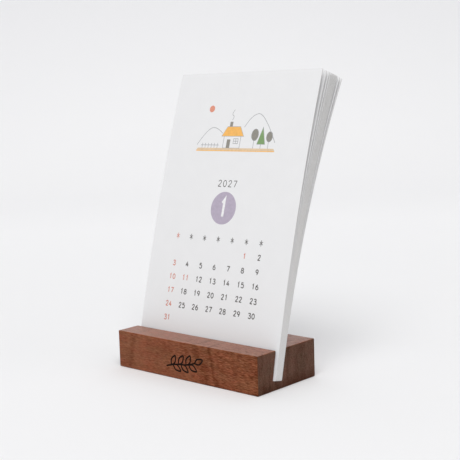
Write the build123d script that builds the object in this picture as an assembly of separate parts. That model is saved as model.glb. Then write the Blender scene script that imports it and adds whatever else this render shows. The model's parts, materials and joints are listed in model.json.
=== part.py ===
from build123d import *
import os
from math import cos, degrees, radians, sin

# Desk calendar: a stack of loose printed cards, one for each month and one title card,
# standing in a slot that is sawn at a slant across a small hardwood block.
# Millimetres and degrees. The block's front faces -Y, +X is to its right and +Z is up.
# The origin is the centre of the block's underside.

# The hardwood block
base_width = 98.8
base_depth = 45.4
base_height = 20.0
edge_round = 0.5

# The slot, open at both ends of the block, leaning back from upright
slot_lean = 11.0
slot_depth = 15.0
front_bar = 14.5
slot_play = 0.8
slot_round = 0.4

# The cards
month_names = (
    "january", "february", "march", "april", "may", "june",
    "july", "august", "september", "october", "november", "december",
)
card_width = 98.0
card_height = 157.6
card_thickness = 0.35
card_corner = 0.8
card_shift = 1.8

# How the stack stands in the slot: the small clearances, and the stack's lean at its foot
wall_clearance = 0.1
floor_clearance = 0.05
card_clearance = 0.03
foot_lean = 12.4

# The fan: each card is bowed to one radius, the front card least and the back card most.
# The shares say how the fan's opening is divided among the gaps, from front to back.
front_bow_radius = 1250.0
back_bow_radius = 553.0
front_gap_shares = (3.5, 2.2, 1.3)
packed_gap_share = 0.5
back_gap_shares = (2.1, 2.0)

# What follows from the sizes above
card_names = [f"card_{month}" for month in month_names] + ["title_card"]
card_count = len(card_names)
card_pitch = card_thickness + card_clearance
stack_thickness = card_count * card_pitch - card_clearance
slot_width = wall_clearance + stack_thickness + slot_play
packed_gap_count = card_count - 1 - len(front_gap_shares) - len(back_gap_shares)
gap_shares = [*front_gap_shares, *[packed_gap_share] * packed_gap_count, *back_gap_shares]

# The slot's own frame: x along the block, y across the slot from its front wall, z up the wall.
# Its origin is the front wall's edge at the block's top.
slot_frame = Plane(
    origin=(0, front_bar - base_depth / 2, base_height),
    x_dir=(1, 0, 0),
    z_dir=(0, sin(radians(slot_lean)), cos(radians(slot_lean))),
)


def wooden_base():
    """The block, sanded round all over, with the slot cut right through its length.

    The slot's mouth and ends are eased too. Its two floor corners stay as the saw leaves them.
    """
    block = Box(base_width, base_depth, base_height, align=(Align.CENTER, Align.CENTER, Align.MIN))
    block = fillet(block.edges(), edge_round)
    cutter = slot_frame * Pos(0, 0, -slot_depth) * Box(
        2 * base_width,
        slot_width,
        slot_depth + base_height,
        align=(Align.CENTER, Align.MIN, Align.MIN),
    )
    slotted = block - cutter
    return fillet(new_edges(block, cutter, combined=slotted), slot_round)


def bow_radius(index):
    """The radius of a card's front face: the bow grows with the gaps in front of the card."""
    opened = sum(gap_shares[:index]) / sum(gap_shares)
    front_bow = 1 / front_bow_radius
    back_bow = 1 / back_bow_radius
    return 1 / (front_bow + opened * (back_bow - front_bow))


def bow_centre(index):
    """The centre of a card's bow, low down behind the block, in the Y-Z plane."""
    across = wall_clearance + index * card_pitch
    foot = slot_frame.from_local_coords(Vector(0, across, floor_clearance - slot_depth))
    radius = bow_radius(index)
    return (
        foot.Y + radius * cos(radians(foot_lean)),
        foot.Z - radius * sin(radians(foot_lean)),
    )


def bowed_card(index):
    """One card: a thin sheet between two arcs about its bow's centre, with its corners eased."""
    centre = bow_centre(index)
    outer = bow_radius(index)
    turn = degrees(card_height / outer)
    start = 180 - foot_lean
    front_face = CenterArc(centre, outer, start, -turn)
    back_face = CenterArc(centre, outer - card_thickness, start, -turn)
    foot = Line(front_face @ 0, back_face @ 0)
    head = Line(front_face @ 1, back_face @ 1)
    outline = make_face(Curve() + [front_face, head, back_face, foot])
    left_end = card_shift - card_width / 2
    profile = Plane.YZ.offset(left_end) * outline
    sheet = extrude(profile, card_width)
    corners = [edge for edge in sheet.edges() if edge.length < 2 * card_thickness]
    return fillet(corners, card_corner)


os.makedirs("parts", exist_ok=True)
export_step(wooden_base(), "parts/wooden_base.step")
for index, name in enumerate(card_names):
    export_step(bowed_card(index), f"parts/{name}.step")
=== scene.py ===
import bmesh
import bpy
import calendar
import json
from math import cos, pi, radians, sin
from mathutils import Matrix, Vector


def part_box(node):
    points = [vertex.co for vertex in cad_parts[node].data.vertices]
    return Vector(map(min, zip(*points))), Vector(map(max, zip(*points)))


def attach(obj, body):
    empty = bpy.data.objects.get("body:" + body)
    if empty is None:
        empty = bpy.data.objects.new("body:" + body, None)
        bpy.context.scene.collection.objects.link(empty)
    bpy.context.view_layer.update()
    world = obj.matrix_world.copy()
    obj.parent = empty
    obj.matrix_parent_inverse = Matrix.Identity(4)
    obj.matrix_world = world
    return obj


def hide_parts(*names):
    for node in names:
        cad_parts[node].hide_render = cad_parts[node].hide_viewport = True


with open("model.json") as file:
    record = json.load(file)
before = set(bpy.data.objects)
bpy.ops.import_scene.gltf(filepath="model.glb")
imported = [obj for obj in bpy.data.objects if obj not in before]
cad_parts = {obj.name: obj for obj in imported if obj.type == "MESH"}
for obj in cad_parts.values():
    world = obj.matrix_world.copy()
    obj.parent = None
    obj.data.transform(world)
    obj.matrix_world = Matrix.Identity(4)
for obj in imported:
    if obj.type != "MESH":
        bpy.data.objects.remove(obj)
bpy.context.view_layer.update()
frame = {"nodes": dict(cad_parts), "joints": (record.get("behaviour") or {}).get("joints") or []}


# The block
# One piece of walnut, planed to size, with a slot sawn through its whole length. Its edges are
# sanded round, those at its foot a little more. The slot leans back, so the cards stand tilted.

mm = 0.001
block_low, block_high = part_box("wooden_base")

# Its own sizes are in mm, because it is cut in mm
edge_round = 0.5
foot_round = 0.7
front_bar = 14.5
slot_lean = radians(11)
slot_depth = 15.0
slot_width = 5.81
slot_round = 0.6
round_steps = 5


def make_piece(name, shape, materials):
    """Turns a finished bmesh into an object at the origin, with its faces pointing outwards."""
    bmesh.ops.recalc_face_normals(shape, faces=shape.faces)
    mesh = bpy.data.meshes.new(name)
    shape.to_mesh(mesh)
    shape.free()
    for material in materials:
        mesh.materials.append(material)
    piece = bpy.data.objects.new(name, mesh)
    bpy.context.scene.collection.objects.link(piece)
    return piece


def linear(hex_colour):
    """Turns an sRGB hex colour into the linear values that a shader works in."""
    channels = [int(hex_colour[i:i + 2], 16) / 255 for i in (1, 3, 5)]
    return [c / 12.92 if c <= 0.04045 else ((c + 0.055) / 1.055) ** 2.4 for c in channels] + [1.0]


def new_material(name):
    """Makes a node material, and returns it with its shader."""
    material = bpy.data.materials.new(name)
    material.use_nodes = True
    return material, material.node_tree.nodes["Principled BSDF"]


def add_node(material, kind, inputs=(), **settings):
    """Adds a node. Each input takes a value, or a link where it is given another's output."""
    node = material.node_tree.nodes.new("ShaderNode" + kind)
    for name, value in settings.items():
        setattr(node, name, value)
    for socket, value in dict(inputs).items():
        if isinstance(value, bpy.types.NodeSocket):
            material.node_tree.links.new(value, node.inputs[socket])
        else:
            node.inputs[socket].default_value = value
    return node


def link_shader(material, shader, outputs):
    """Links outputs to the shader's sockets of those names."""
    for socket, output in outputs.items():
        material.node_tree.links.new(output, shader.inputs[socket])


# Walnut, planed, sanded and oiled: reddish brown with soft darker clouds, fine dark flecks
# along the grain and a satin sheen, strongest on the top, which hands rub. The top is also
# painted paler, as painted light and sheen. Its ends soak up more oil and look darker, and
# near the foot they are painted darker still, as painted shade.
walnut, walnut_shader = new_material("oiled_walnut")
walnut_light = linear("#98532C")
walnut_dark = linear("#5A2C16")
in_metres = add_node(walnut, "TexCoord")
in_mm = add_node(
    walnut, "VectorMath", {0: in_metres.outputs["Object"], "Scale": 1 / mm}, operation="SCALE"
).outputs[0]
axes = add_node(walnut, "SeparateXYZ", {0: in_mm})

# Faces that point squarely enough along the block are its ends, and those that point up its top
normals = add_node(walnut, "SeparateXYZ", {0: in_metres.outputs["Normal"]})
squarely = {"From Min": 0.45, "From Max": 0.95}
facing_end = add_node(walnut, "Math", {0: normals.outputs["X"]}, operation="ABSOLUTE").outputs[0]
endness = add_node(walnut, "MapRange", {"Value": facing_end, **squarely}).outputs[0]

# The flecks stand out more on the right half of the block, and the fine layers less on its ends
calm_side = -25.0
lively_side = 25.0
left_contrast = 0.9
right_contrast = 1.8
end_contrast = 0.4
liveliness = add_node(
    walnut,
    "MapRange",
    {
        "Value": axes.outputs["X"],
        "From Min": calm_side,
        "From Max": lively_side,
        "To Min": left_contrast,
        "To Max": right_contrast,
    },
).outputs[0]
end_calm = add_node(
    walnut, "MapRange", {"Value": endness, "To Min": 1.0, "To Max": end_contrast}
).outputs[0]

# Each layer of figure: its length along the grain, its depth and its height, all in mm, how
# much it is warped, and how far it lightens or darkens the wood. The fibres are drawn wider than
# real ones, so that they show. The tone runs from 0 for dark walnut to 1 for light walnut.
figure_layers = {
    "clouds": ((13, 45, 34), 1.0, 0.23),
    "long_bands": ((90, 3.2, 16), 1.5, 0.18),
    "growth_rings": ((70, 1.5, 9), 1.0, 0.22),
    "streaks": ((26, 0.8, 1.1), 0.6, 0.16),
    "flecks": ((2.4, 0.6, 0.34), 0.4, 0.76),
    "fibres": ((4, 0.22, 0.22), 0.3, 0.30),
}
fine_layers = ("flecks", "fibres")
fleck_slope = radians(6)
tone = 0.52
noises = {}
for layer, (size, distortion, weight) in figure_layers.items():
    stretched = add_node(
        walnut,
        "Mapping",
        {
            "Vector": in_mm,
            "Rotation": (0, fleck_slope if layer == "flecks" else 0, 0),
            "Scale": [1 / length for length in size],
        },
    )
    noises[layer] = add_node(
        walnut,
        "TexNoise",
        {"Vector": stretched.outputs[0], "Scale": 1.0, "Detail": 3.0, "Distortion": distortion},
    ).outputs["Fac"]
    part = add_node(
        walnut,
        "Math",
        {0: noises[layer], 1: 2 * weight, 2: -weight},
        operation="MULTIPLY_ADD",
    ).outputs[0]
    if layer == "flecks":
        part = add_node(walnut, "Math", {0: part, 1: liveliness}, operation="MULTIPLY").outputs[0]
    if layer in fine_layers:
        part = add_node(walnut, "Math", {0: part, 1: end_calm}, operation="MULTIPLY").outputs[0]
    tone = add_node(walnut, "Math", {0: tone, 1: part}, operation="ADD").outputs[0]

# Darker bands across the front, as the photo shows them: the place at mid height and the
# half width in mm, the slant, and how much each darkens the wood. They wander with the clouds.
band_wander = 7.0
mid_height = 10
dark_bands = (
    (-38.5, 3.2, 0.27, 0.18),
    (11.8, 4.0, -0.35, 0.22),
    (20.6, 2.3, -0.24, 0.32),
    (48.0, 60.0, 0.0, 0.14),
)
wander = add_node(
    walnut,
    "Math",
    {0: noises["clouds"], 1: band_wander, 2: -band_wander / 2},
    operation="MULTIPLY_ADD",
).outputs[0]
across = add_node(walnut, "Math", {0: axes.outputs["X"], 1: wander}, operation="ADD").outputs[0]
for middle, half_width, slant, strength in dark_bands:
    leaning = add_node(
        walnut,
        "Math",
        {0: axes.outputs["Z"], 1: -slant, 2: mid_height * slant - middle},
        operation="MULTIPLY_ADD",
    )
    offset = add_node(walnut, "Math", {0: across, 1: leaning.outputs[0]}, operation="ADD")
    distance = add_node(walnut, "Math", {0: offset.outputs[0]}, operation="ABSOLUTE")
    band = add_node(
        walnut,
        "MapRange",
        {
            "Value": distance.outputs[0],
            "From Min": 0.0,
            "From Max": half_width,
            "To Min": -strength,
            "To Max": 0.0,
        },
        interpolation_type="SMOOTHSTEP",
    )
    tone = add_node(walnut, "Math", {0: tone, 1: band.outputs[0]}, operation="ADD").outputs[0]

# The top is painted paler, as painted light from above and painted sheen
top_painted_light = 0.22
painted_top_lightening = add_node(
    walnut, "MapRange", {"Value": normals.outputs["Z"], **squarely, "To Max": top_painted_light}
).outputs[0]
tone = add_node(walnut, "Math", {0: tone, 1: painted_top_lightening}, operation="ADD").outputs[0]

# The ends show the growth rings end on, as upright streaks, and are painted darker near the
# foot, as painted shade
end_ring_size = (60, 4.8, 40)
end_ring_weight = 0.34
end_shade_full = 1.0
end_shade_top = 6.0
end_shade_darkness = 0.25
ring_place = add_node(
    walnut, "Mapping", {"Vector": in_mm, "Scale": [1 / length for length in end_ring_size]}
)
end_rings = add_node(
    walnut,
    "TexNoise",
    {"Vector": ring_place.outputs[0], "Scale": 1.0, "Detail": 3.0, "Distortion": 0.6},
).outputs["Fac"]
end_streaks = add_node(
    walnut,
    "Math",
    {0: end_rings, 1: 2 * end_ring_weight, 2: -end_ring_weight},
    operation="MULTIPLY_ADD",
).outputs[0]
# Painted shade: the ends darken towards the foot
painted_end_shade = add_node(
    walnut,
    "MapRange",
    {
        "Value": axes.outputs["Z"],
        "From Min": end_shade_full,
        "From Max": end_shade_top,
        "To Min": -end_shade_darkness,
        "To Max": 0.0,
    },
).outputs[0]
end_figure = add_node(walnut, "Math", {0: end_streaks, 1: painted_end_shade}, operation="ADD").outputs[0]
end_tone = add_node(walnut, "Math", {0: end_figure, 1: endness}, operation="MULTIPLY").outputs[0]
tone = add_node(walnut, "Math", {0: tone, 1: end_tone}, operation="ADD").outputs[0]

# Pores: open vessels, cut lengthwise as short dark dashes, drawn twice as wide as real ones
pore_size = (3.0, 0.35, 0.35)
pore_place = add_node(
    walnut, "Mapping", {"Vector": in_mm, "Scale": [1 / length for length in pore_size]}
)
pore_noise = add_node(
    walnut, "TexNoise", {"Vector": pore_place.outputs[0], "Scale": 1.0, "Detail": 1.0}
).outputs["Fac"]
pores = add_node(
    walnut,
    "MapRange",
    {"Value": pore_noise, "From Min": 0.33, "From Max": 0.42, "To Min": 0.55, "To Max": 1.0},
).outputs[0]

plain_colour = add_node(
    walnut, "Mix", {0: tone, 6: walnut_dark, 7: walnut_light}, data_type="RGBA"
).outputs[2]

# The heartwood drifts between a redder and a more olive brown, and is darker and greyer on the ends
tint_size = (9, 5, 3.2)
tint_place = add_node(
    walnut, "Mapping", {"Vector": in_mm, "Scale": [1 / length for length in tint_size]}
)
tint_noise = add_node(
    walnut, "TexNoise", {"Vector": tint_place.outputs[0], "Scale": 1.0, "Detail": 3.0}
).outputs["Fac"]
tint_share = add_node(
    walnut, "MapRange", {"Value": tint_noise, "From Min": 0.36, "From Max": 0.64}
).outputs[0]
tint = add_node(
    walnut,
    "Mix",
    {0: tint_share, 6: linear("#FFF3EC"), 7: linear("#F4FFF8")},
    data_type="RGBA",
).outputs[2]
face_colour = add_node(
    walnut,
    "Mix",
    {0: 1.0, 6: plain_colour, 7: tint},
    data_type="RGBA",
    blend_type="MULTIPLY",
).outputs[2]
end_colour = add_node(
    walnut,
    "Mix",
    {0: 1.0, 6: face_colour, 7: linear("#B8D5FC")},
    data_type="RGBA",
    blend_type="MULTIPLY",
).outputs[2]
sawn_colour = add_node(
    walnut, "Mix", {0: endness, 6: face_colour, 7: end_colour}, data_type="RGBA"
).outputs[2]
walnut_colour = add_node(
    walnut, "Mix", {0: pores, 6: walnut_dark, 7: sawn_colour}, data_type="RGBA"
).outputs[2]

# The oil: satin, duller in the dark figure and glossier where hands rub the top
satin = add_node(
    walnut,
    "MapRange",
    {"Value": noises["fibres"], "From Min": 0.3, "From Max": 0.7, "To Min": 0.35, "To Max": 0.28},
).outputs[0]
relief = add_node(walnut, "Math", {0: pores, 1: noises["fibres"]}, operation="ADD").outputs[0]
grain_bump = add_node(
    walnut, "Bump", {"Height": relief, "Strength": 0.5, "Distance": 0.04 * mm}
).outputs[0]
oil_gloss = add_node(
    walnut,
    "MapRange",
    {"Value": tone, "From Min": 0.1, "From Max": 0.9, "To Min": 0.04, "To Max": 0.46},
).outputs[0]
rubbed = add_node(
    walnut,
    "MapRange",
    {
        "Value": normals.outputs["Z"],
        "From Min": 0.2,
        "From Max": 0.8,
        "To Min": 0.88,
        "To Max": 1.25,
    },
).outputs[0]
gloss = add_node(walnut, "Math", {0: oil_gloss, 1: rubbed}, operation="MULTIPLY").outputs[0]
link_shader(
    walnut,
    walnut_shader,
    {
        "Base Color": walnut_colour,
        "Roughness": satin,
        "Specular IOR Level": gloss,
        "Normal": grain_bump,
    },
)

# The exported model loses a linked gloss, so the socket also holds the average one
walnut_shader.inputs["Specular IOR Level"].default_value = 0.27
walnut_shader.inputs["IOR"].default_value = 1.5
walnut_shader.inputs["Sheen Weight"].default_value = 0.1
walnut_shader.inputs["Sheen Roughness"].default_value = 0.3

# Walnut burnt by the engraver's laser: nearly black brown, dull and a little sooty
burnt, burnt_shader = new_material("burnt_walnut")
soot_grain = 0.4 * mm
soot = add_node(
    burnt,
    "TexNoise",
    {"Vector": add_node(burnt, "TexCoord").outputs["Object"], "Scale": 1 / soot_grain},
).outputs["Fac"]
char = add_node(
    burnt, "Mix", {0: soot, 6: linear("#0E0705"), 7: linear("#24140D")}, data_type="RGBA"
).outputs[2]
link_shader(burnt, burnt_shader, {"Base Color": char})
burnt_shader.inputs["Roughness"].default_value = 0.85
burnt_shader.inputs["Specular IOR Level"].default_value = 0.1


def down_slot(start, depth, across):
    """Gives the point that lies so far down the slot's wall from the start, and so far across."""
    return start + Vector((
        0,
        across * cos(slot_lean) - depth * sin(slot_lean),
        -across * sin(slot_lean) - depth * cos(slot_lean),
    ))


# The block is cut in millimetres and brought to metres at the end, as the boolean needs
left, front, under = block_low / mm
right, rear, top = block_high / mm
mouth_front = Vector((left, front + front_bar, top))
floor_front = down_slot(mouth_front, slot_depth, 0)
floor_back = down_slot(mouth_front, slot_depth, slot_width)
mouth_back = down_slot(floor_back, (floor_back.z - top) / cos(slot_lean), 0)
section = [
    Vector((left, front, under)),
    Vector((left, rear, under)),
    Vector((left, rear, top)),
    mouth_back,
    floor_back,
    floor_front,
    mouth_front,
    Vector((left, front, top)),
]
block = bmesh.new()
end_face = block.faces.new([block.verts.new(corner) for corner in section])
grown = bmesh.ops.extrude_face_region(block, geom=[end_face])["geom"]
far_end = [part for part in grown if isinstance(part, bmesh.types.BMVert)]
bmesh.ops.translate(block, verts=far_end, vec=(right - left, 0, 0))

# Each edge is rounded by its own weight. The two corners of the slot's floor stay sharp.
rounding = block.edges.layers.float.new("bevel_weight_edge")
slot_yz = [corner.yz.freeze() for corner in (mouth_back, floor_back, floor_front, mouth_front)]
for edge in block.edges:
    ends = [vert.co.yz.freeze() for vert in edge.verts]
    in_floor = ends[0] == ends[1] and ends[0] in slot_yz[1:3]
    in_slot = ends[0] in slot_yz and ends[1] in slot_yz
    at_foot = max(end.y for end in ends) == under
    if in_floor:
        radius = 0.0
    elif in_slot:
        radius = slot_round
    else:
        radius = foot_round if at_foot else edge_round
    edge[rounding] = radius / foot_round
wooden_block = make_piece("walnut_block", block, [walnut, burnt])
edges_eased = wooden_block.modifiers.new("edges_eased", "BEVEL")
edges_eased.limit_method = "WEIGHT"
edges_eased.width = foot_round
edges_eased.segments = round_steps

# The mark on the block's front: a sprig of leaves, burnt by the laser as grooves. Each line is
# a round cutter whose middle lies in front of the face, so that it leaves a shallow groove.
groove_width = 0.85
groove_depth = 0.25
sprig_middle = Vector((0.0, front, 9.6))
sprig_stem = ((-13.0, -3.6), (-6.0, -1.6), (2.0, -1.4), (7.5, 0.6))
leaf_length = 6.2
leaf_width = 2.7
leaf_places = (
    (-9.2, -2.6, 62), (-8.0, -2.2, -28), (-4.0, -1.6, 56), (-2.4, -1.4, -34),
    (1.4, -1.2, 60), (3.2, -0.8, -26), (7.5, 0.6, 24),
)
cutter_radius = (groove_width ** 2 / 4 + groove_depth ** 2) / (2 * groove_depth)
sprig = [sprig_stem]
for x, z, turn in leaf_places:
    ahead = Vector((cos(radians(turn)), sin(radians(turn)))) * leaf_length
    aside = Vector((-sin(radians(turn)), cos(radians(turn)))) * leaf_width
    root = Vector((x, z))
    for side in (1, -1):
        swell = root + 0.30 * ahead + 0.62 * side * aside
        taper = root + 0.72 * ahead + 0.42 * side * aside
        sprig.append((root, swell, taper, root + ahead))

drawn_lines = bpy.data.curves.new("sprig", "CURVE")
drawn_lines.dimensions = "3D"
drawn_lines.resolution_u = 6
drawn_lines.bevel_depth = cutter_radius
drawn_lines.bevel_resolution = 4
drawn_lines.use_fill_caps = True
for points in sprig:
    spline = drawn_lines.splines.new("NURBS")
    spline.points.add(len(points) - 1)
    for knot, (x, z) in zip(spline.points, points):
        out_of_face = groove_depth - cutter_radius
        knot.co = (*(sprig_middle + Vector((x, out_of_face, z))), 1)
    spline.order_u = 3
    spline.use_endpoint_u = True
drawn_sprig = bpy.data.objects.new("sprig", drawn_lines)
tube_mesh = bpy.data.meshes.new_from_object(drawn_sprig)
tubes = bmesh.new()
tubes.from_mesh(tube_mesh)
bmesh.ops.remove_doubles(tubes, verts=tubes.verts, dist=1e-4)
cutter = make_piece("sprig_cutter", tubes, [burnt])
engraving = wooden_block.modifiers.new("engraving", "BOOLEAN")
engraving.operation = "DIFFERENCE"
engraving.solver = "EXACT"
engraving.use_self = True
engraving.material_mode = "TRANSFER"
engraving.object = cutter
finished = bpy.data.meshes.new_from_object(
    wooden_block.evaluated_get(bpy.context.evaluated_depsgraph_get())
)
finished.transform(Matrix.Scale(mm, 4))
wooden_block.modifiers.clear()
wooden_block.data = finished
for helper in (cutter, drawn_sprig):
    bpy.data.objects.remove(helper)
bpy.data.curves.remove(drawn_lines)
bpy.data.meshes.remove(tube_mesh)
for face in wooden_block.data.polygons:
    face.use_smooth = True
wooden_block.data.set_sharp_from_angle(angle=radians(35))
even_shade = wooden_block.modifiers.new("even_shade", "WEIGHTED_NORMAL")
even_shade.keep_sharp = True
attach(wooden_block, "base")
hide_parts("wooden_base")


# The cards
# Thirteen loose cards of thick uncoated paper, cut square by a guillotine with their corners
# only just eased. They stand in the slot, each one bowed a little more than the one in front.

month_names = [name.lower() for name in calendar.month_name[1:]]
card_names = {f"{month}_leaf": f"card_{month}" for month in month_names}
card_names["title_leaf"] = "title_card"
bow_centres = {joint["child"]: Vector(joint["pos_m"]) for joint in frame["joints"]}
card_width = 98.0 * mm
card_height = 157.6 * mm
card_thickness = 0.35 * mm
card_corner = 0.8 * mm
card_shift = 1.8 * mm
foot_lean = radians(12.4)
card_rows = 64
corner_steps = 4
bow_radii = {}
for leaf, card_name in card_names.items():
    corners = frame["nodes"][card_name].data.vertices
    bow_radii[leaf] = max((corner.co - bow_centres[leaf]).yz.length for corner in corners)

# Card stock, wood-free and uncoated: a cool white, dead matt, faintly cloudy, with a fine tooth
# that is drawn coarser than a real one, so that it shows. The foot is painted lighter and
# cooler than the rest, as painted light.
card_stock, stock_shader = new_material("uncoated_card_stock")
tooth_size = 0.35 * mm
cloud_size = 9 * mm
foot_light_top = 42 * mm
foot_light_full = 18 * mm
stock_place = add_node(card_stock, "TexCoord").outputs["Object"]
tooth = add_node(
    card_stock, "TexNoise", {"Vector": stock_place, "Scale": 1 / tooth_size, "Detail": 4.0}
).outputs["Fac"]
clouding = add_node(
    card_stock, "TexNoise", {"Vector": stock_place, "Scale": 1 / cloud_size, "Detail": 2.0}
).outputs["Fac"]
unevenness = add_node(card_stock, "Math", {0: tooth, 1: clouding}, operation="ADD").outputs[0]
evenness = add_node(
    card_stock, "MapRange", {"Value": unevenness, "From Min": 0.6, "From Max": 1.4}
).outputs[0]
stock_colour = add_node(
    card_stock, "Mix", {0: evenness, 6: linear("#E6E6E7"), 7: linear("#E9E9EA")}, data_type="RGBA"
).outputs[2]
foot_place = add_node(card_stock, "SeparateXYZ", {0: stock_place})
# Painted light: the foot is painted lighter and cooler
painted_foot_light = add_node(
    card_stock,
    "MapRange",
    {"Value": foot_place.outputs["Z"], "From Min": foot_light_top, "From Max": foot_light_full},
    interpolation_type="SMOOTHSTEP",
).outputs[0]
foot_lit_colour = add_node(
    card_stock, "Mix", {0: painted_foot_light, 6: stock_colour, 7: linear("#E9EBED")}, data_type="RGBA"
).outputs[2]
stock_bump = add_node(
    card_stock, "Bump", {"Height": tooth, "Strength": 0.35, "Distance": 0.02 * mm}
).outputs[0]
link_shader(card_stock, stock_shader, {"Base Color": foot_lit_colour, "Normal": stock_bump})
stock_shader.inputs["Roughness"].default_value = 0.9
stock_shader.inputs["Specular IOR Level"].default_value = 0.25

# The same stock where the guillotine cut it: a warmer, greyer edge, streaked by its fibres, which
# are drawn thicker than real ones. It is painted a little greyer towards the head, as painted
# shade.
cut_edge, edge_shader = new_material("cut_card_edge")
fibre_size = (0.1 * mm, 0.1 * mm, 1.5 * mm)
edge_shade_foot = 30 * mm
edge_shade_head = 150 * mm
edge_place = add_node(cut_edge, "TexCoord").outputs["Object"]
layers_place = add_node(
    cut_edge, "Mapping", {"Vector": edge_place, "Scale": [1 / length for length in fibre_size]}
)
fibres = add_node(
    cut_edge, "TexNoise", {"Vector": layers_place.outputs[0], "Scale": 1.0, "Detail": 3.0}
).outputs["Fac"]
edge_colour = add_node(
    cut_edge, "Mix", {0: fibres, 6: linear("#C9C7C6"), 7: linear("#E0DFDE")}, data_type="RGBA"
).outputs[2]
edge_height = add_node(cut_edge, "SeparateXYZ", {0: edge_place}).outputs["Z"]
# Painted shade: the edges turn greyer towards the head
head_shade = add_node(
    cut_edge,
    "MapRange",
    {"Value": edge_height, "From Min": edge_shade_foot, "From Max": edge_shade_head},
).outputs[0]
edge_shaded_colour = add_node(
    cut_edge, "Mix", {0: head_shade, 6: edge_colour, 7: linear("#C6C4C1")}, data_type="RGBA"
).outputs[2]
link_shader(cut_edge, edge_shader, {"Base Color": edge_shaded_colour})
edge_shader.inputs["Roughness"].default_value = 0.95
edge_shader.inputs["Specular IOR Level"].default_value = 0.15


def on_card(flat, leaf):
    """Gives the place on a bowed card of a point of the flat one: across, up, out of its face."""
    lean = foot_lean + flat.y / bow_radii[leaf]
    reach = bow_radii[leaf] + flat.z
    centre = bow_centres[leaf]
    return Vector((card_shift + flat.x, centre.y - reach * cos(lean), centre.z + reach * sin(lean)))


for leaf, card_name in card_names.items():
    sheet = bmesh.new()
    bmesh.ops.create_grid(sheet, x_segments=2, y_segments=card_rows, size=0.5)
    bmesh.ops.scale(sheet, verts=sheet.verts, vec=(card_width, card_height, 1))
    bmesh.ops.translate(sheet, verts=sheet.verts, vec=(0, card_height / 2, 0))
    bmesh.ops.bevel(
        sheet,
        geom=[vert for vert in sheet.verts if len(vert.link_edges) == 2],
        offset=card_corner,
        segments=corner_steps,
        profile=0.5,
        affect="VERTICES",
        material=-1,
    )
    deep = bmesh.ops.extrude_face_region(sheet, geom=sheet.faces[:])["geom"]
    back = [part for part in deep if isinstance(part, bmesh.types.BMVert)]
    bmesh.ops.translate(sheet, verts=back, vec=(0, 0, -card_thickness))
    sheet.normal_update()
    for face in sheet.faces:
        face.smooth = True
        face.material_index = int(abs(face.normal.z) < 0.5)
    for edge in sheet.edges:
        edge.smooth = len({face.material_index for face in edge.link_faces}) == 1
    for vert in sheet.verts:
        vert.co = on_card(vert.co, leaf)
    card = make_piece(card_name + "_paper", sheet, [card_stock, cut_edge])
    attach(card, leaf)
    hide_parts(card_name)


# The print
# Each month is printed in thin inks on its card: a small drawing, the year, the month's number
# in a mauve disc, a star for each weekday and the dates. The numbers look lettered by hand.

ink_rise = 0.006 * mm
layer_rise = 0.003 * mm
year = 2027

# Places and sizes on the flat card, in mm from the middle of its foot
digit_size = (1.6, 2.55)
digit_pitch = 2.5
date_pen = 0.53
first_column = -30.2
column_pitch = 9.8
first_row = 59.2
row_pitch = 7.4
weekday_height = 66.6
weekday_star = (2.4, 3.1)
weekday_pen = 0.38
year_middle = -0.5
year_height = 96.3
year_digit = (2.2, 3.3)
year_pitch = 3.55
year_pen = 0.4
disc_middle = -0.7
disc_height = 83.2
disc_size = 17.4
month_digit = (3.8, 9.0)
month_pitch = 5.6
month_pen = 1.6

# Coral marks the Sundays and, in January, two more days
holidays = {1: (1, 11)}

# Offset inks on uncoated stock: matt, faintly mottled like a wash of watercolour
mottle_size = 1.3 * mm
mottle_light = 1.16
mottle_dark = 0.86
ink_colours = {
    "grey": "#5C5A58",
    "coral": "#CD8778",
    "mauve": "#B3A9BA",
    "white": "#EAEAEB",
    "pencil": "#A5A6A8",
    "orange": "#F0B766",
    "slate": "#8F8C84",
    "green": "#809E6D",
    "tan": "#DCC3A4",
    "rose": "#DE9680",
}
inks = {}
for ink_name, ink_hex in ink_colours.items():
    ink, ink_shader = new_material(f"{ink_name}_offset_ink")
    mottle = add_node(
        ink,
        "TexNoise",
        {"Vector": add_node(ink, "TexCoord").outputs["Object"], "Scale": 1 / mottle_size},
    ).outputs["Fac"]
    paler = [channel * mottle_light for channel in linear(ink_hex)[:3]] + [1.0]
    deeper = [channel * mottle_dark for channel in linear(ink_hex)[:3]] + [1.0]
    ink_colour = add_node(ink, "Mix", {0: mottle, 6: deeper, 7: paler}, data_type="RGBA")
    link_shader(ink, ink_shader, {"Base Color": ink_colour.outputs[2]})
    ink_shader.inputs["Roughness"].default_value = 0.8
    ink_shader.inputs["Specular IOR Level"].default_value = 0.3
    inks[ink_name] = ink
ink_order = list(inks)


# A shape is given by its points, whether it is closed, and the kind of curve through them


def line(*points):
    """A straight pen line, or one with corners."""
    return points, False, "POLY"


def curve(*points):
    """A smooth pen line that starts at the first point and ends at the last."""
    return points, False, "NURBS"


def patch(*points):
    """A shape with straight sides."""
    return points, True, "POLY"


def loop(x, y, width, height):
    """A smooth closed oval about its middle."""
    reach = 1 / cos(pi / 8)
    turns = [pi / 8 + step * pi / 4 for step in range(8)]
    rim = [(x + width / 2 * reach * cos(t), y + height / 2 * reach * sin(t)) for t in turns]
    return rim, True, "NURBS"


def star(x, y, size):
    """Three crossing pen strokes about a middle."""
    reach_x, reach_y = size[0] / 2, size[1] / 2
    turns = (pi / 2, pi / 6, 5 * pi / 6)
    tips = [(reach_x * cos(t), reach_y * sin(t)) for t in turns]
    return [line((x - dx, y - dy), (x + dx, y + dy)) for dx, dy in tips]


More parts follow.
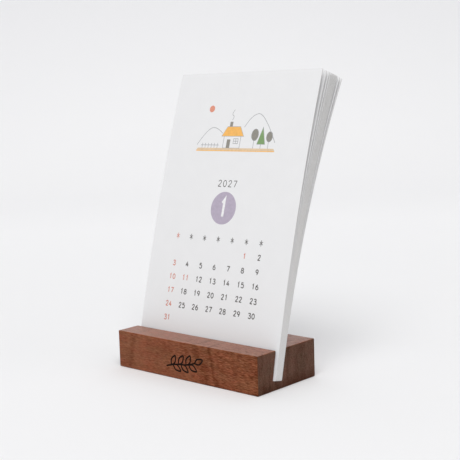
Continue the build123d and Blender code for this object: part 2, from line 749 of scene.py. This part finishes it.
# Pen strokes of each digit, in a box one wide and one high
digit_strokes = {
    "0": [loop(0.5, 0.5, 1.0, 1.0)],
    "1": [line((0.2, 0.8), (0.55, 1.0), (0.52, 0.0))],
    "2": [curve((0.05, 0.78), (0.15, 1.0), (0.85, 1.05), (0.95, 0.7), (0.5, 0.35), (0.0, 0.02)),
          line((0.0, 0.02), (1.0, 0.0))],
    "3": [curve((0.05, 0.9), (0.3, 1.02), (0.95, 1.0), (0.85, 0.58), (0.35, 0.56)),
          curve((0.35, 0.56), (1.0, 0.56), (1.05, 0.0), (0.4, -0.04), (0.0, 0.12))],
    "4": [line((0.62, 1.0), (0.0, 0.3), (1.0, 0.32)), line((0.68, 0.66), (0.66, 0.0))],
    "5": [line((0.9, 1.0), (0.2, 0.98), (0.12, 0.58)),
          curve((0.12, 0.58), (0.5, 0.72), (1.05, 0.6), (1.0, 0.02), (0.4, -0.04), (0.0, 0.12))],
    "6": [curve((0.75, 1.0), (0.3, 0.8), (0.02, 0.5), (0.04, 0.3)), loop(0.5, 0.3, 0.94, 0.6)],
    "7": [line((0.0, 0.98), (1.0, 1.0), (0.38, 0.0))],
    "8": [loop(0.5, 0.77, 0.78, 0.46), loop(0.5, 0.27, 1.0, 0.54)],
    "9": [loop(0.46, 0.71, 0.9, 0.58), curve((0.9, 0.72), (0.86, 0.35), (0.45, 0.0))],
}


def number(text, x, y, size, pitch):
    """The strokes of a number whose middle stands at x and y."""
    width, height = size
    start = x - (len(text) - 1) * pitch / 2 - width / 2
    strokes = []
    for place, digit in enumerate(text):
        for points, closed, kind in digit_strokes[digit]:
            corner = (start + place * pitch, y - height / 2)
            moved = [(corner[0] + px * width, corner[1] + py * height) for px, py in points]
            strokes.append((moved, closed, kind))
    return strokes


row_height = 3.0


def lay_ink(sheet, leaf, shapes, ink_name, pen=0.0, layer=0, steps=3):
    """Prints shapes on a card: as pen lines of that width, or filled where there is no pen.

    The ink is cut into low rows, so that it follows the card's bow. Where inks overlap, the one
    in the higher layer lies on top.
    """
    drawing = bpy.data.curves.new("drawing", "CURVE")
    drawing.dimensions = "2D"
    drawing.resolution_u = steps
    drawing.bevel_resolution = 0
    drawing.fill_mode = "NONE" if pen else "BOTH"
    drawing.bevel_depth = pen / 2
    drawing.use_fill_caps = bool(pen)
    drawing.extrude = 0.0 if pen else 1.0
    for points, closed, kind in shapes:
        spline = drawing.splines.new(kind)
        spline.points.add(len(points) - 1)
        for knot, (x, y) in zip(spline.points, points):
            knot.co = (x, y, 0, 1)
        spline.use_cyclic_u = closed
        if kind == "NURBS":
            spline.order_u = 3
            spline.use_endpoint_u = not closed
    drawn = bpy.data.objects.new("drawing", drawing)
    flat = bpy.data.meshes.new_from_object(drawn)
    layer_mesh = bmesh.new()
    layer_mesh.from_mesh(flat)
    heights = [vert.co.y for vert in layer_mesh.verts]
    row = min(heights) + row_height
    while row < max(heights):
        whole = layer_mesh.verts[:] + layer_mesh.edges[:] + layer_mesh.faces[:]
        bmesh.ops.bisect_plane(layer_mesh, geom=whole, plane_co=(0, row, 0), plane_no=(0, 1, 0))
        row += row_height
    bmesh.ops.remove_doubles(layer_mesh, verts=layer_mesh.verts, dist=1e-4)
    bmesh.ops.recalc_face_normals(layer_mesh, faces=layer_mesh.faces)
    for face in layer_mesh.faces:
        face.material_index = ink_order.index(ink_name)
        face.smooth = False
    for vert in layer_mesh.verts:
        side = (vert.co.z > 1e-6) - (vert.co.z < -1e-6)
        out = (layer + 1) * layer_rise + side * ink_rise
        vert.co = on_card(Vector((vert.co.x * mm, vert.co.y * mm, out)), leaf)
    layer_mesh.to_mesh(flat)
    layer_mesh.free()
    sheet.from_mesh(flat)
    bpy.data.objects.remove(drawn)
    bpy.data.curves.remove(drawing)
    bpy.data.meshes.remove(flat)


# The drawing: a house with a fence and trees under two hills. The sun moves on each month. Its
# parts are placed in mm from the middle of its ground line, which is at this height on the card.
# Each round tree has its place, the height of its crown's middle and its crown's width.
picture_foot = 114.2
picture_pen = 0.32
ground_pen = 0.5
ground_reach = 27.5
soil_top = 1.3
season_inks = ("slate", "green", "green", "orange")
tree_places = ((12.6, 8.6, 4.6), (22.6, 7.6, 4.0))
crown_stretch = 1.35
crown_slip = 0.2
fir_place = 17.6
fence_left = -23.5
fence_pitch = 2.2
fence_posts = 6
fence_top = 4.0
sun_start = -21.0
sun_step = 3.8
sun_height = 23.0
sun_size = 3.8


def draw_picture(sheet, leaf, month):
    """Prints the drawing. The trees' crowns take the season's colour."""
    season = season_inks[(month % 12) // 3]

    def raised(shape):
        points, closed, kind = shape
        return [(x, picture_foot + y) for x, y in points], closed, kind

    roof_line = ((-10.4, 7.8), (-7.2, 13.0), (1.8, 13.0), (5.0, 7.8))
    chimney_line = ((-5.8, 13.0), (-5.8, 15.6), (-4.0, 15.6), (-4.0, 13.0))
    fir_line = ((-2.7, 3.6), (0.0, 12.6), (2.7, 3.6))
    fir_line = [(fir_place + x, y) for x, y in fir_line]
    outlines = [
        curve((-27.5, 3.0), (-22.0, 11.0), (-15.5, 13.5), (-10.2, 9.4)),
        curve((4.6, 12.8), (8.5, 19.5), (17.0, 20.5), (27.0, 4.4)),
        curve((-4.9, 16.6), (-3.4, 18.6), (-6.2, 19.8), (-4.2, 22.4)),
        line(*roof_line, roof_line[0]),
        line(*chimney_line),
        line((-8.6, 7.8), (-8.6, soil_top), (3.2, soil_top), (3.2, 7.8)),
        line((-1.6, 3.8), (1.6, 3.8), (1.6, 6.4), (-1.6, 6.4), (-1.6, 3.8)),
        line((0.0, 3.8), (0.0, 6.4)),
        line((-1.6, 5.1), (1.6, 5.1)),
        line(*fir_line, fir_line[0]),
        line((fir_place, soil_top), (fir_place, 3.6)),
        line((-24.5, 2.9), (-11.5, 2.9)),
    ]
    posts = [fence_left + fence_pitch * post for post in range(fence_posts)]
    outlines += [line((x, soil_top), (x, height - crown * 0.5)) for x, height, crown in tree_places]
    outlines += [line((x, soil_top), (x, fence_top)) for x in posts]
    crowns = [loop(x, height, crown, crown * crown_stretch) for x, height, crown in tree_places]
    crown_lines = [
        loop(x + crown_slip, height, crown, crown * crown_stretch)
        for x, height, crown in tree_places
    ]
    door = patch((-6.2, soil_top), (-6.2, 6.0), (-3.8, 6.0), (-3.8, soil_top))
    soil = patch((-26.6, soil_top), (-ground_reach, 0.0), (ground_reach, 0.0), (26.6, soil_top))
    sun = loop(sun_start + sun_step * (month - 1), sun_height, sun_size, sun_size)
    ground_line = line((-ground_reach, -0.2), (ground_reach, -0.2))
    lay_ink(sheet, leaf, [raised(sun)], "rose")
    lay_ink(sheet, leaf, [raised(soil)], "tan")
    lay_ink(sheet, leaf, [raised(crown) for crown in crowns], season, steps=6)
    lay_ink(sheet, leaf, [raised(patch(*fir_line))], "green")
    lay_ink(sheet, leaf, [raised(patch(*roof_line))], "orange")
    lay_ink(sheet, leaf, [raised(patch(*chimney_line)), raised(door)], "slate")
    pencilled = [raised(outline) for outline in outlines + crown_lines]
    lay_ink(sheet, leaf, pencilled, "pencil", picture_pen, 1, steps=8)
    lay_ink(sheet, leaf, [raised(ground_line)], "orange", ground_pen, 1)


def print_month(sheet, leaf, month):
    """Prints one month: its year, its number in the disc, the weekdays' stars and the dates."""
    year_number = number(str(year), year_middle, year_height, year_digit, year_pitch)
    lay_ink(sheet, leaf, year_number, "grey", year_pen)
    disc = loop(disc_middle, disc_height, disc_size, disc_size)
    lay_ink(sheet, leaf, [disc], "mauve", steps=10)
    month_number = number(str(month), disc_middle, disc_height, month_digit, month_pitch)
    lay_ink(sheet, leaf, month_number, "white", month_pen, 3, steps=8)
    columns = [first_column + column_pitch * day for day in range(7)]
    lay_ink(sheet, leaf, star(columns[0], weekday_height, weekday_star), "coral", weekday_pen)
    for x in columns[1:]:
        lay_ink(sheet, leaf, star(x, weekday_height, weekday_star), "grey", weekday_pen)
    dates = {"grey": [], "coral": []}
    weeks = calendar.Calendar(firstweekday=calendar.SUNDAY).monthdayscalendar(year, month)
    for row, week in enumerate(weeks):
        for column, day in enumerate(week):
            if day == 0:
                continue
            rest_day = column == 0 or day in holidays.get(month, ())
            height = first_row - row * row_pitch
            strokes = number(str(day), columns[column], height, digit_size, digit_pitch)
            dates["coral" if rest_day else "grey"] += strokes
    for ink_name, strokes in dates.items():
        lay_ink(sheet, leaf, strokes, ink_name, date_pen)


for month, month_name in enumerate(month_names, 1):
    leaf = f"{month_name}_leaf"
    sheet = bmesh.new()
    draw_picture(sheet, leaf, month)
    print_month(sheet, leaf, month)
    month_print = make_piece(f"{month_name}_print", sheet, [inks[name] for name in ink_order])
    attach(month_print, leaf)

# The title card carries the drawing as it is in June, over a large year
title_month = 6
title_digit = (5.2, 9.0)
title_pitch = 8.4
title_pen = 0.7
sheet = bmesh.new()
draw_picture(sheet, "title_leaf", title_month)
title_year = number(str(year), 0.0, disc_height, title_digit, title_pitch)
lay_ink(sheet, "title_leaf", title_year, "grey", title_pen, steps=8)
title_print = make_piece("title_print", sheet, [inks[name] for name in ink_order])
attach(title_print, "title_leaf")


# The studio
# A pale paper sweep runs from the floor up into the backdrop, and isn't part of the object. A
# large softbox, high at the front right, and an even white room light the object softly.

sweep_front = -1.5
sweep_back = 1.6
sweep_height = 2.2
sweep_half_width = 2.6
sweep_round = 0.7
sweep_turn = radians(42)

# Backdrop paper: matt, nearly white. It carries a painted pool of light, whitest behind the
# object, and painted shade: a touch greyer far out to the sides and up, and greyer towards the
# softbox, where it would clip. Each change has the place in metres where it begins and where it
# ends.
sweep_paper, sweep_shader = new_material("pale_backdrop_paper")
paper_tooth = 0.6 * mm
pool_light_from, pool_light_to = 0.05, 0.6
falloff_from, falloff_to = 0.16, 0.66
falloff_pace = (0.45, 0.0, 1.6)
lamp_side_from, lamp_side_to = -0.25, -1.4
sweep_place = add_node(sweep_paper, "TexCoord").outputs["Object"]
sweep_tooth = add_node(
    sweep_paper, "TexNoise", {"Vector": sweep_place, "Scale": 1 / paper_tooth}
).outputs["Fac"]
near_paper = add_node(
    sweep_paper,
    "Mix",
    {0: sweep_tooth, 6: linear("#EEEEEF"), 7: linear("#F1F1F2")},
    data_type="RGBA",
).outputs[2]
along_sweep = add_node(
    sweep_paper, "Mapping", {"Vector": sweep_place, "Rotation": (0, 0, -sweep_turn)}
).outputs[0]
sweep_axes = add_node(sweep_paper, "SeparateXYZ", {0: along_sweep})
# Painted light: whiter further back, behind the object
painted_light_behind = add_node(
    sweep_paper,
    "MapRange",
    {"Value": sweep_axes.outputs["Y"], "From Min": pool_light_from, "From Max": pool_light_to},
).outputs[0]
lit_far_paper = add_node(
    sweep_paper, "Mix", {0: painted_light_behind, 6: near_paper, 7: linear("#FBFBFC")}, data_type="RGBA"
).outputs[2]
# Painted shade: greyer far out to the sides and up
from_middle = add_node(
    sweep_paper, "VectorMath", {0: along_sweep, 1: falloff_pace}, operation="MULTIPLY"
).outputs[0]
fade_distance = add_node(sweep_paper, "VectorMath", {0: from_middle}, operation="LENGTH")
painted_falloff = add_node(
    sweep_paper,
    "MapRange",
    {"Value": fade_distance.outputs["Value"], "From Min": falloff_from, "From Max": falloff_to},
).outputs[0]
falloff_colour = add_node(
    sweep_paper, "Mix", {0: painted_falloff, 6: lit_far_paper, 7: linear("#EFEFF1")}, data_type="RGBA"
).outputs[2]
# Painted shade: greyer towards the softbox
towards_lamp = add_node(
    sweep_paper,
    "MapRange",
    {"Value": sweep_axes.outputs["Y"], "From Min": lamp_side_from, "From Max": lamp_side_to},
).outputs[0]
even_colour = add_node(
    sweep_paper, "Mix", {0: towards_lamp, 6: falloff_colour, 7: linear("#D2D2D4")}, data_type="RGBA"
).outputs[2]
link_shader(sweep_paper, sweep_shader, {"Base Color": even_colour})
sweep_shader.inputs["Roughness"].default_value = 0.9
sweep_shader.inputs["Specular IOR Level"].default_value = 0.1

sweep = bmesh.new()
profile = [
    sweep.verts.new((-sweep_half_width, sweep_front, 0)),
    sweep.verts.new((-sweep_half_width, sweep_back, 0)),
    sweep.verts.new((-sweep_half_width, sweep_back, sweep_height)),
]
for corners in (profile[:2], profile[1:]):
    sweep.edges.new(corners)
bmesh.ops.bevel(
    sweep,
    geom=[profile[1]],
    offset=sweep_round,
    segments=24,
    profile=0.5,
    affect="VERTICES",
    material=-1,
)
swept = bmesh.ops.extrude_edge_only(sweep, edges=sweep.edges[:])["geom"]
far_side = [part for part in swept if isinstance(part, bmesh.types.BMVert)]
bmesh.ops.translate(sweep, verts=far_side, vec=(2 * sweep_half_width, 0, 0))
bmesh.ops.rotate(sweep, verts=sweep.verts, matrix=Matrix.Rotation(sweep_turn, 3, "Z"))
for face in sweep.faces:
    face.smooth = True
backdrop = make_piece("backdrop", sweep, [sweep_paper])

softbox_azimuth = radians(38)
softbox_elevation = radians(57)
softbox_distance = 3.2
softbox_side = 2.2
softbox_power = 68.0
softbox = bpy.data.lights.new("softbox", "AREA")
softbox.size = softbox_side
softbox.energy = softbox_power
softbox_stand = bpy.data.objects.new("softbox", softbox)
softbox_stand.matrix_world = (
    Matrix.Rotation(softbox_azimuth, 4, "Z")
    @ Matrix.Rotation(pi / 2 - softbox_elevation, 4, "X")
    @ Matrix.Translation((0, 0, softbox_distance))
)
bpy.context.scene.collection.objects.link(softbox_stand)

# The room lights evenly. Seen past the sweep, straight or mirrored, it is about as pale as that.
room_light = 0.48
seen_room = 0.8
room = bpy.data.worlds.new("white_room")
room.use_nodes = True
room_rays = add_node(room, "LightPath").outputs
seen_or_mirrored = add_node(
    room,
    "Math",
    {0: room_rays["Is Camera Ray"], 1: room_rays["Is Glossy Ray"]},
    operation="MAXIMUM",
).outputs[0]
seen = add_node(
    room, "Math", {0: seen_or_mirrored, 1: room_rays["Is Transmission Ray"]}, operation="MAXIMUM"
).outputs[0]
room_strength = add_node(
    room, "MapRange", {"Value": seen, "To Min": room_light, "To Max": seen_room}
).outputs[0]
room_shader = room.node_tree.nodes["Background"]
link_shader(room, room_shader, {"Strength": room_strength})
room_shader.inputs["Color"].default_value = linear("#FFFFFF")
bpy.context.scene.world = room


# The camera
# A long lens at the photo's place and angle, at the front right and a little above the block. It
# is fitted to the block's corners and rolled by nearly 2 degrees, as the photo is.

camera_place = Vector((364.3, -388.3, 146.3)) * mm
camera_azimuth = radians(42.05)
camera_elevation = radians(7.62)
camera_roll = radians(-1.82)
focal_length = 80.765
camera = bpy.data.cameras.new("camera")
camera.sensor_width = 36.0
camera.lens = focal_length
camera.clip_start = 0.01
camera_stand = bpy.data.objects.new("camera", camera)
camera_stand.matrix_world = (
    Matrix.Translation(camera_place)
    @ Matrix.Rotation(camera_azimuth, 4, "Z")
    @ Matrix.Rotation(pi / 2 - camera_elevation, 4, "X")
    @ Matrix.Rotation(camera_roll, 4, "Z")
)
bpy.context.scene.collection.objects.link(camera_stand)
bpy.context.scene.camera = camera_stand
bpy.context.scene.view_settings.view_transform = "Standard"
